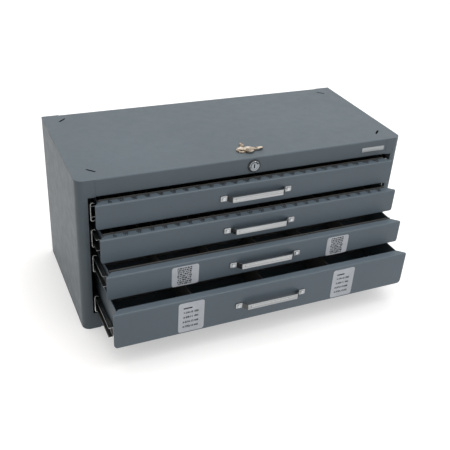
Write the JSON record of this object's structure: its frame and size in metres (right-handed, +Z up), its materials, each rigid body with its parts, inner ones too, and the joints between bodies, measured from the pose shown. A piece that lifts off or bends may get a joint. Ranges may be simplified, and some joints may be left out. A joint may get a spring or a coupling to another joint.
{
  "type": "tap and die drawer cabinet",
  "caption": "Low sheet-steel cabinet with sliding drawers for taps and dies, strap handles, a front lock that works a bar behind the drawers, and loose keys.",
  "frame": {"origin": "centre of the case's flat underside, with the drawers left out", "axes": "+X to the right along the drawer fronts, +Y towards the back, +Z up; drawers open along -Y"},
  "size_m": [0.575, 0.3664, 0.2809],
  "materials": {
    "case_enamel": "smooth blue-grey baked enamel",
    "drawer_enamel": "smooth blue-grey baked enamel",
    "divider_enamel": "smooth blue-grey baked enamel",
    "zinc_plate": "bright zinc plate",
    "satin_nickel": "satin plated steel",
    "bright_steel": "bright steel",
    "chrome_plate": "polished chrome plate",
    "black_plastic": "matt black moulding",
    "key_brass": "pale nickel-silver brass"
  },
  "bodies": {
    "cabinet": {"left_side_panel": "case_enamel", "right_side_panel": "case_enamel", "top_panel": "case_enamel", "bottom_pan": "case_enamel", "back_panel": "case_enamel", "left_uprights": "zinc_plate", "right_uprights": "zinc_plate", "fixed_rail_1_left": "zinc_plate", "fixed_rail_1_right": "zinc_plate", "fixed_rail_2_left": "zinc_plate", "fixed_rail_2_right": "zinc_plate", "fixed_rail_3_left": "zinc_plate", "fixed_rail_3_right": "zinc_plate", "fixed_rail_4_left": "zinc_plate", "fixed_rail_4_right": "zinc_plate", "rail_rivets": "bright_steel", "lock_escutcheon": "black_plastic", "lock_housing": "chrome_plate", "lock_nut": "zinc_plate", "lock_rod_bracket": "zinc_plate", "lock_bar_guides": "zinc_plate"},
    "drawer_1": {"drawer_1_tray": "drawer_enamel", "drawer_1_front": "drawer_enamel", "drawer_1_handle": "satin_nickel", "drawer_1_handle_screws": "bright_steel", "drawer_1_dividers": "divider_enamel", "slide_member_1_left": "zinc_plate", "slide_member_1_right": "zinc_plate"},
    "drawer_2": {"drawer_2_tray": "drawer_enamel", "drawer_2_front": "drawer_enamel", "drawer_2_handle": "satin_nickel", "drawer_2_handle_screws": "bright_steel", "drawer_2_dividers": "divider_enamel", "slide_member_2_left": "zinc_plate", "slide_member_2_right": "zinc_plate"},
    "drawer_3": {"drawer_3_tray": "drawer_enamel", "drawer_3_front": "drawer_enamel", "drawer_3_handle": "satin_nickel", "drawer_3_handle_screws": "bright_steel", "drawer_3_dividers": "divider_enamel", "slide_member_3_left": "zinc_plate", "slide_member_3_right": "zinc_plate"},
    "drawer_4": {"drawer_4_tray": "drawer_enamel", "drawer_4_front": "drawer_enamel", "drawer_4_handle": "satin_nickel", "drawer_4_handle_screws": "bright_steel", "drawer_4_dividers": "divider_enamel", "slide_member_4_left": "zinc_plate", "slide_member_4_right": "zinc_plate"},
    "ball_cages_1": {"ball_cages_1": "bright_steel"},
    "ball_cages_2": {"ball_cages_2": "bright_steel"},
    "ball_cages_3": {"ball_cages_3": "bright_steel"},
    "ball_cages_4": {"ball_cages_4": "bright_steel"},
    "lock_plug": {"lock_plug": "chrome_plate", "lock_tail_rod": "zinc_plate"},
    "lock_bar": {"lock_bar": "zinc_plate"},
    "key_1": {"key_1": "key_brass"},
    "key_2": {"key_2": "key_brass"}
  },
  "joints": [
    {"name": "drawer_1_slide", "type": "slide", "parent": "cabinet", "child": "drawer_1", "axis": [0, -1, 0], "range_m": [-0.019, 0.151]},
    {"name": "drawer_2_slide", "type": "slide", "parent": "cabinet", "child": "drawer_2", "axis": [0, -1, 0], "range_m": [-0.0405, 0.1295]},
    {"name": "drawer_3_slide", "type": "slide", "parent": "cabinet", "child": "drawer_3", "axis": [0, -1, 0], "range_m": [-0.0708, 0.0992]},
    {"name": "drawer_4_slide", "type": "slide", "parent": "cabinet", "child": "drawer_4", "axis": [0, -1, 0], "range_m": [-0.1027, 0.0673]},
    {"name": "ball_cages_1_slide", "type": "slide", "parent": "cabinet", "child": "ball_cages_1", "axis": [0, -1, 0], "range_m": [-0.00951, 0.07551]},
    {"name": "ball_cages_2_slide", "type": "slide", "parent": "cabinet", "child": "ball_cages_2", "axis": [0, -1, 0], "range_m": [-0.02026, 0.06476]},
    {"name": "ball_cages_3_slide", "type": "slide", "parent": "cabinet", "child": "ball_cages_3", "axis": [0, -1, 0], "range_m": [-0.03541, 0.04961]},
    {"name": "ball_cages_4_slide", "type": "slide", "parent": "cabinet", "child": "ball_cages_4", "axis": [0, -1, 0], "range_m": [-0.05136, 0.03366]},
    {"name": "lock_plug_turn", "type": "hinge", "parent": "cabinet", "child": "lock_plug", "pos_m": [0.0016, -0.12625, 0.26215], "axis": [0, 1, 0], "range_deg": [0, 90]},
    {"name": "lock_bar_slide", "type": "slide", "parent": "cabinet", "child": "lock_bar", "axis": [0, 0, -1], "range_m": [0, 0.01414]},
    {"name": "key_1_lift", "type": "slide", "parent": "cabinet", "child": "key_1", "axis": [0, 0, 1], "range_m": [0, 0.12]},
    {"name": "key_2_lift", "type": "slide", "parent": "key_1", "child": "key_2", "axis": [0, 0, 1], "range_m": [0, 0.12]}
  ],
  "couplings": [
    {"joint": "ball_cages_1_slide", "follows": "drawer_1_slide", "ratio": 0.5},
    {"joint": "ball_cages_2_slide", "follows": "drawer_2_slide", "ratio": 0.5},
    {"joint": "ball_cages_3_slide", "follows": "drawer_3_slide", "ratio": 0.5},
    {"joint": "ball_cages_4_slide", "follows": "drawer_4_slide", "ratio": 0.5},
    {"joint": "lock_plug_turn", "follows": "lock_bar_slide", "rad_per_m": 111.07}
  ]
}
